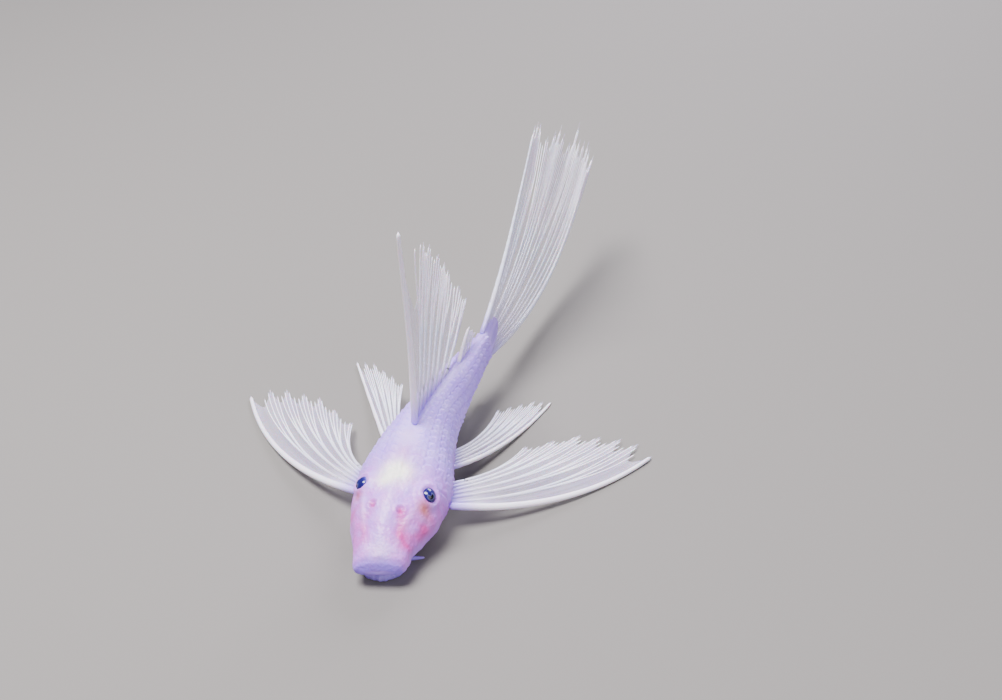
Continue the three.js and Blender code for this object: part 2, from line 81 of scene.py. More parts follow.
# %% Stations along the straight body
BODY_LENGTH = 42
SWING = math.radians(20)
HEAD_TURN = math.radians(9)
SNOUT_SIDE = -1.3
SNOUT_SHIFT, SNOUT_SLANT, SNOUT_END = 1.2, 0.3, 6
HEAD_PITCH = math.radians(2.3)
TAIL_PITCH = math.radians(12.5)
BEND_START = 8
BELLY_CLEARANCE = 1
AT = (0, 0.3, 1, 3, 6, 9.5, 13.5, 18.5, 24, 30, 36, 42)
HALF_WIDTH = (2.0, 2.8, 3.2, 3.7, 4.9, 5.7, 6.1, 5.1, 3.9, 2.9, 2.1, 1.4)
BACK = (2.0, 2.9, 3.8, 5.1, 6.5, 7.6, 8.5, 9.1, 8.6, 7.4, 6.3, 5.9)
WIDEST = (1.6, 1.7, 1.8, 2.0, 2.2, 2.4, 2.6, 2.9, 3.2, 3.4, 3.5, 3.4)
BELLY = (1.2, 0.9, 0.7, 0.6, 0.5, 0.1, 0, 0, 0, 0.4, 1, 0.9)
BACK_ROUNDNESS = 2.2
BELLY_ROUNDNESS = 3.4
print("stations:", len(AT))


# %% [markdown]
# A curve that swings past the stations would give the body dents that no fish has. So the slope at a
# station is level where the sizes turn, and elsewhere nearer to the gentler of the two rises beside it.

# %% Curves through the stations
def clamp(x, low=0.0, high=1.0):
    return max(low, min(high, x))


def mix(a, b, t):
    return a + (b - a) * t


def ease(x):
    x = clamp(x)
    return x * x * (3 - 2 * x)


def bump(distance, width):
    """A soft ridge: 1 where the distance is 0, fading over the width."""
    return math.exp(-((distance / width) ** 2))


def along(sizes):
    """A smooth curve through one size of the stations, which never overshoots them."""
    rise = [(sizes[i + 1] - sizes[i]) / (AT[i + 1] - AT[i]) for i in range(len(AT) - 1)]
    slope = [rise[0]]
    for p, q in zip(rise, rise[1:]):
        slope.append(0 if p * q <= 0 else 2 * p * q / (p + q))
    slope.append(rise[-1])

    def size(s):
        s = clamp(s, 0, BODY_LENGTH)
        i = clamp(bisect.bisect_right(AT, s) - 1, 0, len(AT) - 2)
        h = AT[i + 1] - AT[i]
        t = (s - AT[i]) / h
        ends = sizes[i] * (1 + 2 * t) * (1 - t) ** 2 + sizes[i + 1] * t * t * (3 - 2 * t)
        return ends + slope[i] * h * t * (1 - t) ** 2 + slope[i + 1] * h * t * t * (t - 1)

    return size


half_width = along(HALF_WIDTH)
back_height = along(BACK)
widest_height = along(WIDEST)
belly_height = along(BELLY)
print("widest:", 2 * half_width(13.5), "mm, deepest:", back_height(18.5), "mm")

# %% [markdown]
# The middle line turns a little under the head, then swings to the left and rises. Each place on it has
# three directions: ahead to the tail, left, and up. A point of the straight fish is carried along by
# them. The soft end of the snout is pressed to its left besides, and its front edge slants.

# %% Bend the straight fish
STEP = 0.25


def heading(s):
    t = clamp((s - BEND_START) / (BODY_LENGTH - BEND_START))
    yaw = SWING * ease(t) + HEAD_TURN * (1 - ease((s - 4) / 12))
    pitch = mix(HEAD_PITCH, TAIL_PITCH, t)
    ahead = Vector((math.sin(yaw) * math.cos(pitch), math.cos(yaw) * math.cos(pitch), math.sin(pitch)))
    left = Vector((math.cos(yaw), -math.sin(yaw), 0))
    return ahead, left, left.cross(ahead)


belly_line = [Vector((SNOUT_SIDE, 0, BELLY_CLEARANCE))]
for k in range(1, int(BODY_LENGTH / STEP) + 1):
    belly_line.append(belly_line[-1] + heading(k * STEP - STEP / 2)[0] * STEP)


def frame_at(s):
    ahead, left, up = heading(s)
    i = clamp(int(s // STEP), 0, len(belly_line) - 1)
    return belly_line[i] + ahead * (s - i * STEP), ahead, left, up


def bend(side, s, height):
    point, ahead, left, up = frame_at(s)
    pressed = ease((SNOUT_END - s) / SNOUT_END)
    point = point + ahead * SNOUT_SLANT * side * pressed
    return point + left * (side + SNOUT_SHIFT * pressed) + up * height


print("tail root, mm:", [round(x, 1) for x in bend(0, BODY_LENGTH, 0)])

# %% [markdown]
# The CAD moved the whole fish until its origin lay under the middle. The eyes tell how far, because
# their places on the body are known here, and their boxes are in the frame.

# %% Find the CAD's origin
EYE_SIDE, EYE_AT, EYE_HEIGHT = 4.05, 9.9, 5.95


def middle_of(node):
    low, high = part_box(node)
    return (Vector(low) + Vector(high)) / 2 / MM


EYE_RADIUS = (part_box("eye_left")[1][0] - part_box("eye_left")[0][0]) / 2 / MM
shift = (middle_of("eye_left") + middle_of("eye_right")) / 2 - bend(0, EYE_AT, EYE_HEIGHT)
shift.z = 0
print("shift to the CAD's origin, mm:", [round(x, 3) for x in shift], "eye radius", round(EYE_RADIUS, 3))

# %% [markdown]
# ## The skin's section and its relief
#
# A cross-section is a superellipse: a round back over a flatter belly. On a real bristlenose the head
# is a bony casque and the flanks carry rows of keeled plates that overlap like tiles, while the belly
# is bare. All of that is one height field over the smooth section, so the whole body stays one unbroken
# skin.

# %% Section and broad forms
def section(s, angle):
    c, d = math.cos(angle), math.sin(angle)
    level = widest_height(s)
    roundness = BACK_ROUNDNESS if c >= 0 else BELLY_ROUNDNESS
    end = back_height(s) if c >= 0 else belly_height(s)
    side = half_width(s) * math.copysign(abs(d) ** (2 / roundness), d)
    return side, mix(level, end, abs(c) ** (2 / roundness))


def broad_relief(side, s, height):
    """Brows, snout ridge, cheeks and nape, as the solids have them."""
    off = abs(side)
    eye = math.dist((off, s, height), (EYE_SIDE, EYE_AT, EYE_HEIGHT))
    brow = 0.35 * bump(eye - EYE_RADIUS, 0.7)
    ridge = 0.25 * bump(off, 0.9) * bump(s - 5.5, 3)
    cheek = 0.3 * bump(off - 5, 1.7) * bump(s - 9, 2.6) * bump(height - 3, 1.6)
    hollow = -0.25 * bump(off - 2.2, 0.9) * bump(s - 4.5, 2)
    nape = 0.3 * bump(off, 1.4) * bump(s - 15, 2.2) if height > 5 else 0
    return brow + ridge + cheek + hollow + nape


print("section at the eyes, mm:", round(2 * half_width(EYE_AT), 2), "by", round(back_height(EYE_AT), 2))

# %% [markdown]
# The head's small forms are the nostrils with a flap across each, the eyes' rims, low ridges of bone,
# the edge of the gill cover, soft lumps and pores. A bump texture would be quicker, but it only shades
# the surface, and the rims and flaps have to stand out of it.

# %% Small forms of the head
NOSTRIL_SIDE, NOSTRIL_AT = 1.85, 6.5
EYE_RIM = 0.17
HEAD_REAR = 14.5
# Fineness and height of each size of lump
LUMPS = ((0.75, 0.14), (2.1, 0.05))


def ridge_side(s):
    """How far out the snout's side ridge runs."""
    return mix(1.9, 3.6, clamp((s - 1.5) / 6.5))


def head_relief(side, s, height):
    """Nostrils with their flap, eye rims, bony ridges, the gill cover's edge, soft lumps and pores."""
    off = abs(side)
    near, ahead = off - NOSTRIL_SIDE, s - NOSTRIL_AT
    lift = 0
    if height > 4:
        nostril = math.hypot(near, ahead)
        lift += -0.45 * bump(nostril, 0.36) + 0.14 * bump(nostril - 0.62, 0.2)
        lift += 0.5 * bump(ahead - 0.05, 0.13) * bump(near, 0.42)
    eye = math.dist((off, s, height), (EYE_SIDE, EYE_AT, EYE_HEIGHT))
    lift += EYE_RIM * bump(eye - EYE_RADIUS - 0.2, 0.34)
    lift += 0.16 * bump(off - ridge_side(s), 0.34) * bump(s - 5, 2.6) * ease((height - 2.5) / 1)
    lift += 0.12 * bump(off, 0.3) * bump(s - 11, 3.5) * ease((height - 5) / 1)
    gill = s - 12.1 + 0.1 * (height - 3) ** 2
    if height < 6:
        lift += -0.16 * bump(gill, 0.16) + 0.1 * bump(gill + 0.4, 0.3)
    lip_crease = -0.1 * bump(s - 0.55, 0.16) * ease((height - 1.6) / 0.8)
    here = Vector((side, s, height))
    lumps = sum(rise * noise.noise(here * fineness) for fineness, rise in LUMPS)
    pores = -0.05 * max(0, noise.noise(here * 4.6) - 0.25)
    return lift + lip_crease + (lumps + pores) * ease((HEAD_REAR - s) / 3)


print("nostrils:", 2 * NOSTRIL_SIDE, "mm apart")

# %% [markdown]
# Each flank has five rows of plates, and each row is shifted by half a plate against the next. A plate
# rises to a pointed rear edge, has a keel along its middle, and fine prickles near its edge. Plates
# as pieces of their own would gape along the bent body, so they are part of the skin.

# %% Plates of the flanks
PLATE_START, PLATE_END, PLATES, PLATE_ROWS = 12.6, 41.6, 24, 5
PLATE_RISE, PLATE_POINT = 0.23, 0.42
TRUNK_FOOT, STALK_FOOT = 100, 152
GROOVE = 0.85
PLATE_PITCH = (PLATE_END - PLATE_START) / PLATES


def plate_relief(s, angle):
    """Rows of keeled plates with a pointed rear edge over the next: their lift and painted groove shade."""
    if s < PLATE_START - 1:
        return 0, 0
    foot = math.radians(mix(TRUNK_FOOT, STALK_FOOT, ease((s - 25) / 9)))
    top = (GROOVE / half_width(s)) ** (BACK_ROUNDNESS / 2)
    q = (abs(angle) - top) / (foot - top) * PLATE_ROWS
    if not 0 < q < PLATE_ROWS:
        return 0, 0
    row = int(q)
    f = q - row
    k = (s - PLATE_START) / PLATE_PITCH + 0.5 * (row % 2) - PLATE_POINT * (1 - (2 * f - 1) ** 2)
    plate = math.floor(k)
    across = k - plate
    varied = 0.85 + 0.3 * noise.noise(Vector((plate * 3.1, row * 7.7 + (50 if angle < 0 else 0), 0)))
    tile = across if across < 0.9 else 0.9 * (1 - ease((across - 0.9) / 0.1))
    keel = 0.35 * bump(f - 0.5, 0.13) * ease(across * 2)
    joint = bump(f, 0.07) + bump(f - 1, 0.07)
    edge = ease(q / 0.25) * ease((PLATE_ROWS - q) / 0.6) * ease((s - PLATE_START + 0.5) / 1.6)
    prickles = 0.16 * max(0, math.sin(f * 44)) * bump(across - 0.78, 0.16)
    # Painted shade in the grooves at each plate's rear edge and between the rows
    shade = edge * clamp(bump(across - 1, 0.12) + bump(across, 0.1) + 0.7 * joint)
    return PLATE_RISE * varied * (tile + keel - 0.35 * joint + prickles) * edge, shade


print("plates of a flank:", PLATE_ROWS, "rows of", PLATES, "and", round(PLATE_PITCH, 2), "mm long")


# %% [markdown]
# A point of the finished skin lies on the section, is pushed outwards by all the relief, and is then
# carried to its place in the bent fish.

# %% A point of the skin
TAIL_SLIM = 0.3


def skin_point(s, angle, lift=0.0, fine=False):
    """A point of the skin. The fine skin also slims a little towards the tail fin."""
    side, height = section(s, angle)
    a, b = section(s, angle + 0.02), section(s, angle - 0.02)
    du, dv = a[0] - b[0], a[1] - b[1]
    length = math.hypot(du, dv) or 1
    out = lift + broad_relief(side, s, height)
    if fine:
        out += head_relief(side, s, height) + plate_relief(s, angle)[0]
        side *= 1 - TAIL_SLIM * ease((s - 36) / 6)
    return bend(side - dv / length * out, s, height + du / length * out)


# %% [markdown]
# ## Helpers for every piece
#
# A piece is made in a bmesh and then placed: its points are moved by the CAD's shift and scaled to
# metres, so the object itself stays at the origin, unturned. Masks that follow the surface are kept as
# named attributes, which the materials read.

# %% Finish a bmesh as a piece
def piece(name, bm, materials, nodes=()):
    bmesh.ops.recalc_face_normals(bm, faces=bm.faces)
    for face in bm.faces:
        face.smooth = True
    bmesh.ops.translate(bm, vec=shift, verts=bm.verts)
    bmesh.ops.scale(bm, vec=(MM, MM, MM), verts=bm.verts)
    mesh = bpy.data.meshes.new(name)
    bm.to_mesh(mesh)
    bm.free()
    made = bpy.data.objects.new(name, mesh)
    bpy.context.scene.collection.objects.link(made)
    for material in materials:
        mesh.materials.append(material)
    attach(made, "root")
    if nodes:
        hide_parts(*nodes)
    print(name, len(mesh.polygons), "faces")
    return made


# %% [markdown]
# ## Materials
#
# A pale fish is not paint: light enters the skin and scatters, so every flesh colour here has
# subsurface scattering over a little under a millimetre. Three helpers start a material, read a mask
# from the mesh, and lay one colour over another.

# %% Node helpers
def new_material(name):
    material = bpy.data.materials.new(name)
    material.use_nodes = True
    tree = material.node_tree
    return material, tree, tree.nodes["Principled BSDF"]


def attribute(tree, name):
    made = tree.nodes.new("ShaderNodeAttribute")
    made.attribute_name = name
    return made.outputs["Fac"]


def blend_colour(tree, factor, below, above):
    made = tree.nodes.new("ShaderNodeMix")
    made.data_type = "RGBA"
    tree.links.new(factor, made.inputs["Factor"])
    for value, socket in ((below, made.inputs["A"]), (above, made.inputs["B"])):
        if isinstance(value, tuple):
            socket.default_value = (*value, 1)
        else:
            tree.links.new(value, socket)
    return made.outputs["Result"]


# %% [markdown]
# Skin, lips and fins have a fine grain and a broader mottling. Each material needs them with its own
# spacing and depth, so they are a node group that is built once and placed in each.

# %% Grain of skin and fins
def grain_group():
    """Fine tooth-like grain: small bumps a third of a millimetre apart, and broader mottling."""
    group = bpy.data.node_groups.new("fish_grain", "ShaderNodeTree")
    group.interface.new_socket("Spacing", in_out="INPUT", socket_type="NodeSocketFloat")
    group.interface.new_socket("Grain", in_out="OUTPUT", socket_type="NodeSocketFloat")
    group.interface.new_socket("Mottle", in_out="OUTPUT", socket_type="NodeSocketFloat")
    entry = group.nodes.new("NodeGroupInput")
    leave = group.nodes.new("NodeGroupOutput")
    place = group.nodes.new("ShaderNodeTexCoord")
    scale = group.nodes.new("ShaderNodeMath")
    scale.operation = "DIVIDE"
    scale.inputs[0].default_value = 1
    group.links.new(entry.outputs["Spacing"], scale.inputs[1])
    cells = group.nodes.new("ShaderNodeTexVoronoi")
    cells.feature = "SMOOTH_F1"
    clouds = group.nodes.new("ShaderNodeTexNoise")
    clouds.inputs["Scale"].default_value = 420
    clouds.inputs["Detail"].default_value = 4
    group.links.new(scale.outputs[0], cells.inputs["Scale"])
    for texture in (cells, clouds):
        group.links.new(place.outputs["Object"], texture.inputs["Vector"])
    invert = group.nodes.new("ShaderNodeMath")
    invert.operation = "SUBTRACT"
    invert.inputs[0].default_value = 1
    group.links.new(cells.outputs["Distance"], invert.inputs[1])
    group.links.new(invert.outputs[0], leave.inputs["Grain"])
    group.links.new(clouds.outputs["Fac"], leave.inputs["Mottle"])
    return group


GRAIN = grain_group()


def add_grain(tree, shader, spacing, depth):
    grain = tree.nodes.new("ShaderNodeGroup")
    grain.node_tree = GRAIN
    grain.inputs["Spacing"].default_value = spacing
    bump_node = tree.nodes.new("ShaderNodeBump")
    bump_node.inputs["Strength"].default_value = 1
    bump_node.inputs["Distance"].default_value = depth
    tree.links.new(grain.outputs["Grain"], bump_node.inputs["Height"])
    tree.links.new(bump_node.outputs["Normal"], shader.inputs["Normal"])
    return grain


print("node group:", GRAIN.name)

# %% [markdown]
# The skin starts mauve, and each mask lays a tint over it: painted shade on the lower flanks and at the
# plates' edges, a pink blush and rosy cheeks on the head, pale patches that are partly painted
# highlight, an orange spot before each eye, a painted highlight on the nape, and a darker snout front
# that is partly painted shade.

# %% Skin and lip materials
LAVENDER = (0.46, 0.29, 0.98)
BLUSH = (0.62, 0.17, 0.82)
CREAM_HIGHLIGHT = (1.0, 0.96, 0.86)
PALE_AND_HIGHLIGHT = (0.74, 0.50, 1.0)
ROSE = (0.58, 0.06, 0.36)
AMBER = (0.50, 0.12, 0.05)
SHADE = (0.34, 0.21, 0.84)
SEAM_SHADE = (0.27, 0.13, 0.70)
LIP_AND_SHADE = (0.21, 0.13, 0.66)
# The lips' own purple, darkened with painted shade from under the snout
LIPS_AND_SHADE = (0.24, 0.15, 0.66)
SCATTER = 0.0007


def flesh(name, base):
    material, tree, shader = new_material(name)
    shader.inputs["Roughness"].default_value = 0.46
    shader.inputs["Subsurface Weight"].default_value = 0.35
    shader.inputs["Subsurface Scale"].default_value = SCATTER
    shader.inputs["Subsurface Radius"].default_value = (1.0, 0.5, 0.6)
    shader.inputs["Coat Weight"].default_value = 0.15
    shader.inputs["Coat Roughness"].default_value = 0.25
    grain = add_grain(tree, shader, spacing=0.00032, depth=0.00006)
    mottle = tree.nodes.new("ShaderNodeMapRange")
    mottle.inputs["From Min"].default_value = 0.38
    mottle.inputs["From Max"].default_value = 0.68
    tree.links.new(grain.outputs["Mottle"], mottle.inputs["Value"])
    lighter = tuple(mix(value, 1, 0.12) for value in base)
    colour = blend_colour(tree, mottle.outputs["Result"], base, lighter)
    return material, tree, shader, colour


SKIN, tree, shader, colour = flesh("pleco_skin", LAVENDER)
LAYER_TINTS = (
    ("flank", SHADE), ("blush", BLUSH), ("seam_shade", SEAM_SHADE), ("pale_and_highlight", PALE_AND_HIGHLIGHT),
    ("rose", ROSE), ("amber", AMBER), ("painted_highlight", CREAM_HIGHLIGHT), ("lip", LIP_AND_SHADE),
)
for mask, tint in LAYER_TINTS:
    colour = blend_colour(tree, attribute(tree, mask), colour, tint)
tree.links.new(colour, shader.inputs["Base Color"])

LIPS, tree, shader, colour = flesh("pleco_lips", LIPS_AND_SHADE)
tree.links.new(colour, shader.inputs["Base Color"])
print("skin masks:", [mask for mask, tint in LAYER_TINTS])

# %% [markdown]
# ## The skin
#
# The skin is a tube of rings. A ring starts as a circle at the snout, and each next ring is extruded
# from the last and set on the section by its place along the body. It closes in a point at the snout
# and in a thin blade inside the tail fin. The three solids could be joined instead, but their gaps and
# facets would show, and rings keep the faces small and even where the plates need them.

# %% Rings of the skin
AROUND = 248
TAIL_FIN_TURN = math.radians(-6.6)
TAIL_WEDGE, WEDGE_RINGS = 4.6, 22
WEDGE_CURVE, WEDGE_BLADE, WEDGE_LOW = 0.25, 0.07, 0.93


def ring_places():
    """Places along the body, closer together on the head."""
    places = [0.0, 0.08, 0.18]
    while places[-1] < BODY_LENGTH - 0.1:
        places.append(places[-1] + mix(0.095, 0.14, ease((places[-1] - 11) / 6)))
    return places


def wedge_point(t, angle):
    """Behind the body the flesh thins to a blade inside the tail fin, with a shallow curve as rear edge."""
    side, height = section(BODY_LENGTH, angle)
    top, low = back_height(BODY_LENGTH), belly_height(BODY_LENGTH)
    middle = (top + low) / 2
    away = (height - middle) / (top - middle)
    back = TAIL_WEDGE * t * (1 - WEDGE_CURVE * away * away)
    side = side * mix(1 - TAIL_SLIM, WEDGE_BLADE, t ** 0.7) + back * math.tan(TAIL_FIN_TURN)
    return bend(side, BODY_LENGTH + back, middle + (height - middle) * mix(1, WEDGE_LOW, t))


# %% [markdown]
# Colour on a fish is uneven. Each blotch is a soft spot with a strength, a place across and along the
# body, a width and a length, and broad noise makes some of them stronger than others.

# %% Masks of the skin
ROSE_BLOTCHES = (
    (1.1, 2.7, 3.5, 1.1, 1.7), (0.85, 4.5, 6.2, 1.2, 1.6), (0.8, 2.2, 5.2, 0.6, 1.4),
    (0.8, -2.6, 3.8, 0.9, 2.0), (0.6, -4.2, 5.6, 0.9, 1.8), (0.4, 0, 14.3, 1.8, 1.4),
)
# Spots of painted highlight, creamy white, on the top of the head and the nape
HIGHLIGHT_BLOTCHES = ((1.1, -0.2, 11.4, 1.9, 1.5), (0.6, -1.4, 9.8, 1.1, 1.0))
# Pale patches on the snout, between the eyes and before the back fin, partly painted highlight
PALE_AND_HIGHLIGHT_BLOTCHES = ((0.7, 0.2, 1.5, 1.4, 1.0), (0.35, 0, 7.5, 0.9, 3.5), (0.5, 0, 17, 1.6, 1.6))
AMBER_LEFT, AMBER_RIGHT, AMBER_RIGHT_SMALLER = (4.25, 8.0), (4.4, 8.1), 0.35


def blotches(side, s, rows):
    return sum(strong * bump(side - out, wide) * bump(s - at, long) for strong, out, at, wide, long in rows)


def paint_skin(vert, layers, s, angle):
    side, height = section(s, angle)
    off = abs(side)
    uneven = 0.75 + 0.5 * noise.noise(Vector((side * 0.9, s * 0.9, height * 0.5 + 7)))
    on_top = ease((math.cos(angle) + 0.15) / 0.5)
    nostril = math.hypot(off - NOSTRIL_SIDE, s - NOSTRIL_AT)
    rose = blotches(side, s, ROSE_BLOTCHES) * uneven + 0.8 * bump(nostril, 0.5)
    rose += 0.35 * bump(s - 8, 5) * bump(height - 3.4, 1.4) * uneven
    spot = math.dist((off, s), AMBER_LEFT if side > 0 else AMBER_RIGHT)
    spot += 0 if side > 0 else AMBER_RIGHT_SMALLER
    # Painted highlight: a creamy white on the top of the head, where the light above falls brightest
    painted_highlight = blotches(side, s, HIGHLIGHT_BLOTCHES) * (0.9 + 0.2 * uneven)
    # A paler tone, partly painted highlight, strongest along the top midline and the crests of the snout's
    # ridges
    pale_and_highlight = blotches(side, s, PALE_AND_HIGHLIGHT_BLOTCHES) + 0.15 * bump(off, 1.2)
    pale_and_highlight += 0.45 * bump(off - ridge_side(s), 0.35) * bump(s - 6, 3)
    # Painted shade: the sides darken from the back downwards, as they turn away from the light above
    flank = ease((math.degrees(abs(angle)) - 35) / 70) * ease((43 - s) / 3)
    vert[layers["rose"]] = clamp(rose * on_top + 0.32 * (1 - on_top) * bump(s - 14, 9))
    vert[layers["amber"]] = 0.85 * bump(spot, 0.8) * on_top
    vert[layers["painted_highlight"]] = clamp(painted_highlight * on_top)
    vert[layers["pale_and_highlight"]] = clamp(pale_and_highlight * on_top)
    vert[layers["flank"]] = clamp(0.6 * flank * uneven)
    # Painted shade in the grooves between the plates
    vert[layers["seam_shade"]] = 0.55 * plate_relief(s, angle)[1]
    vert[layers["blush"]] = clamp(0.85 * ease((16.5 - s) / 7) * (0.5 + 0.5 * on_top) * uneven)
    # The snout's front face darker purple: the upper lip's own colour and painted shade on a face turned
    # from the light
    vert[layers["lip"]] = 0.85 * ease((1.1 - s) / 1.0)


# %% [markdown]
# Now the rings are extruded one after the other, and each point is set in place and given its masks.

# %% Make the skin
def make_skin():
    bm = bmesh.new()
    layers = {name: bm.verts.layers.float.new(name) for name, tint in LAYER_TINTS}
    ring = bmesh.ops.create_circle(bm, segments=AROUND, radius=1)["verts"]
    edges = bm.edges[:]
    angles = [math.tau * (i + 0.5) / AROUND - math.pi for i in range(AROUND)]
    nose = bmesh.ops.create_vert(bm, co=bend(0, -0.03, 1.6))["vert"][0]
    for a, b in zip(ring, ring[1:] + ring[:1]):
        bm.faces.new((a, b, nose))
    wedge = [BODY_LENGTH + (k + 1) / WEDGE_RINGS for k in range(WEDGE_RINGS)]
    for k, s in enumerate(ring_places() + [BODY_LENGTH] + wedge):
        if k:
            made = bmesh.ops.extrude_edge_only(bm, edges=edges)["geom"]
            fresh = {part for part in made if isinstance(part, bmesh.types.BMVert)}
            ring = [next(e.other_vert(v) for e in v.link_edges if e.other_vert(v) in fresh) for v in ring]
            edges = [part for part in made if isinstance(part, bmesh.types.BMEdge)]
            edges = [e for e in edges if e.verts[0] in fresh and e.verts[1] in fresh]
        for vert, angle in zip(ring, angles):
            if s > BODY_LENGTH:
                vert.co = wedge_point(s - BODY_LENGTH, angle)
            else:
                vert.co = skin_point(s, angle, fine=True)
            paint_skin(vert, layers, min(s, BODY_LENGTH), angle)
    bmesh.ops.contextual_create(bm, geom=edges)
    piece("skin", bm, [SKIN], ["head", "trunk", "tail_stalk"])


make_skin()

# %% [markdown]
# ## Eyes
#
# The eye is a ball under a clear wet coat. Its pupil is a hole seen against the iris, and a flap of the
# iris hangs into it from above, as catfish of this family have. Each point keeps how far it is from the
# line of sight, and the iris is coloured by that. A second, see-through ball could be the wet front,
# but on so small an eye a coat on the one ball gives nearly the same light.

# %% Eye material
EYE, tree, shader = new_material("pleco_eye")
shader.inputs["Roughness"].default_value = 0.12
shader.inputs["Coat Weight"].default_value = 0.25
shader.inputs["Coat Roughness"].default_value = 0.06
shader.inputs["Specular IOR Level"].default_value = 0.25
ramp = tree.nodes.new("ShaderNodeValToRGB")
# From the line of sight at 0 to the eye's middle plane at 1: where a ring is, and its colour
IRIS_RINGS = (
    (0.0, (0.002, 0.002, 0.006)),
    (0.19, (0.002, 0.002, 0.006)),
    (0.23, (0.10, 0.10, 0.26)),
    (0.29, (0.012, 0.010, 0.11)),
    (0.48, (0.006, 0.004, 0.07)),
    (0.66, (0.010, 0.007, 0.12)),
    (0.80, (0.05, 0.035, 0.28)),
    (1.0, (0.36, 0.26, 0.74)),
)
STREAK_TINT = (0.03, 0.022, 0.18)
elements = ramp.color_ramp.elements
elements[0].position, elements[0].color = IRIS_RINGS[0][0], (*IRIS_RINGS[0][1], 1)
elements[1].position, elements[1].color = IRIS_RINGS[-1][0], (*IRIS_RINGS[-1][1], 1)
for position, tint in IRIS_RINGS[1:-1]:
    elements.new(position).color = (*tint, 1)
tree.links.new(attribute(tree, "off_sight"), ramp.inputs["Fac"])
streaks = blend_colour(tree, attribute(tree, "spokes"), ramp.outputs["Color"], STREAK_TINT)
tree.links.new(streaks, shader.inputs["Base Color"])
print("rings of the iris:", len(elements))


# %% [markdown]
# The two eyes look up and out to their own sides. The clear front bulges a little, where the pupil is.

# %% Eyes
CORNEA_RISE, STREAKS = 0.06, 23


def make_eye(node_name, gaze):
    bm = bmesh.new()
    centre = middle_of(node_name) - shift
    bmesh.ops.create_uvsphere(bm, u_segments=72, v_segments=48, radius=EYE_RADIUS)
    sight = Vector(gaze).normalized()
    over = Vector((0, 0, 1)).cross(sight).normalized()
    above = sight.cross(over)
    off_sight = bm.verts.layers.float.new("off_sight")
    spokes = bm.verts.layers.float.new("spokes")
    for vert in bm.verts:
        out = vert.co.normalized()
        off = math.acos(clamp(out.dot(sight), -1, 1)) / (math.pi / 2)
        across, up = out.dot(over), out.dot(above)
        flap = 0.3 * ease((up + 0.02) / 0.16) * bump(across, 0.13)
        turn = math.atan2(up, across)
        vert[off_sight] = clamp(off + flap * ease((0.3 - off) / 0.08))
        on_iris = ease((off - 0.32) / 0.08) * ease((0.8 - off) / 0.1)
        vert[spokes] = 0.3 * on_iris * (0.5 + 0.5 * math.sin(turn * STREAKS))
        vert.co += out * CORNEA_RISE * ease((0.5 - off) / 0.3)
    bmesh.ops.translate(bm, vec=centre, verts=bm.verts)
    piece(node_name.replace("eye", "eyeball"), bm, [EYE], [node_name])


make_eye("eye_left", gaze=(0.60, -0.55, 0.58))
make_eye("eye_right", gaze=(-0.88, -0.36, 0.34))

# %% [markdown]
# ## Sucker mouth
#
# The mouth is a round lip under the snout that holds the fish to what it rests on. Its profile is
# turned about its middle with a spin, which keeps the lip even all round, and is then stretched to an
# oval. The lip's underside is covered with small pimples, and a slit across it is the line of the
# mouth.

# %% Mouth
MOUTH_AT, MOUTH_WIDE, MOUTH_LONG = 4.3, 3.3, 3.8
# Distance from the middle and height above the floor, from the underside out and over the rim
LIP_PROFILE = (
    (0.02, 0.78), (0.8, 0.74), (1.7, 0.62), (2.5, 0.42), (3.0, 0.14), (3.35, 0.03), (3.75, 0.03),
    (4.1, 0.16), (4.32, 0.45), (4.4, 0.85), (4.3, 1.2), (4.12, 1.5), (4.0, 1.8), (3.8, 2.3),
    (2.0, 2.6), (0.02, 2.7),
)
LIP_RIM = max(r for r, z in LIP_PROFILE)
BARBEL_FOOT, BARBEL_REACH, BARBEL_THICK, BARBEL_TAPER = (3.05, 1.0, 0.72), (1.6, 0.75, -0.12), 0.36, 0.62
mouth_centre, mouth_left = bend(0, MOUTH_AT, 0), heading(MOUTH_AT)[1]
mouth_back = Vector((-mouth_left.y, mouth_left.x, 0))


def set_down(x, y, z):
    """A point of the mouth, turned with the head and standing on the floor."""
    return Vector((mouth_centre.x, mouth_centre.y, z)) + mouth_left * x + mouth_back * y


def add_barbel(bm, sign):
    """A short feeler at one corner of the mouth: a grid rolled up into a cone that closes at both ends."""
    for vert in bmesh.ops.create_grid(bm, x_segments=14, y_segments=10, size=0.5)["verts"]:
        t, turn = vert.co.x + 0.5, math.tau * (vert.co.y + 0.5)
        closing = math.sqrt(clamp(t * 12)) * math.sqrt(clamp((1 - t) * 8))
        radius = BARBEL_THICK * (1 - BARBEL_TAPER * t) * closing
        x, y, z = (foot + t * reach for foot, reach in zip(BARBEL_FOOT, BARBEL_REACH))
        x += 0.3 * math.cos(turn) * radius
        vert.co = set_down(sign * x, y + math.cos(turn) * radius, z + math.sin(turn) * radius)


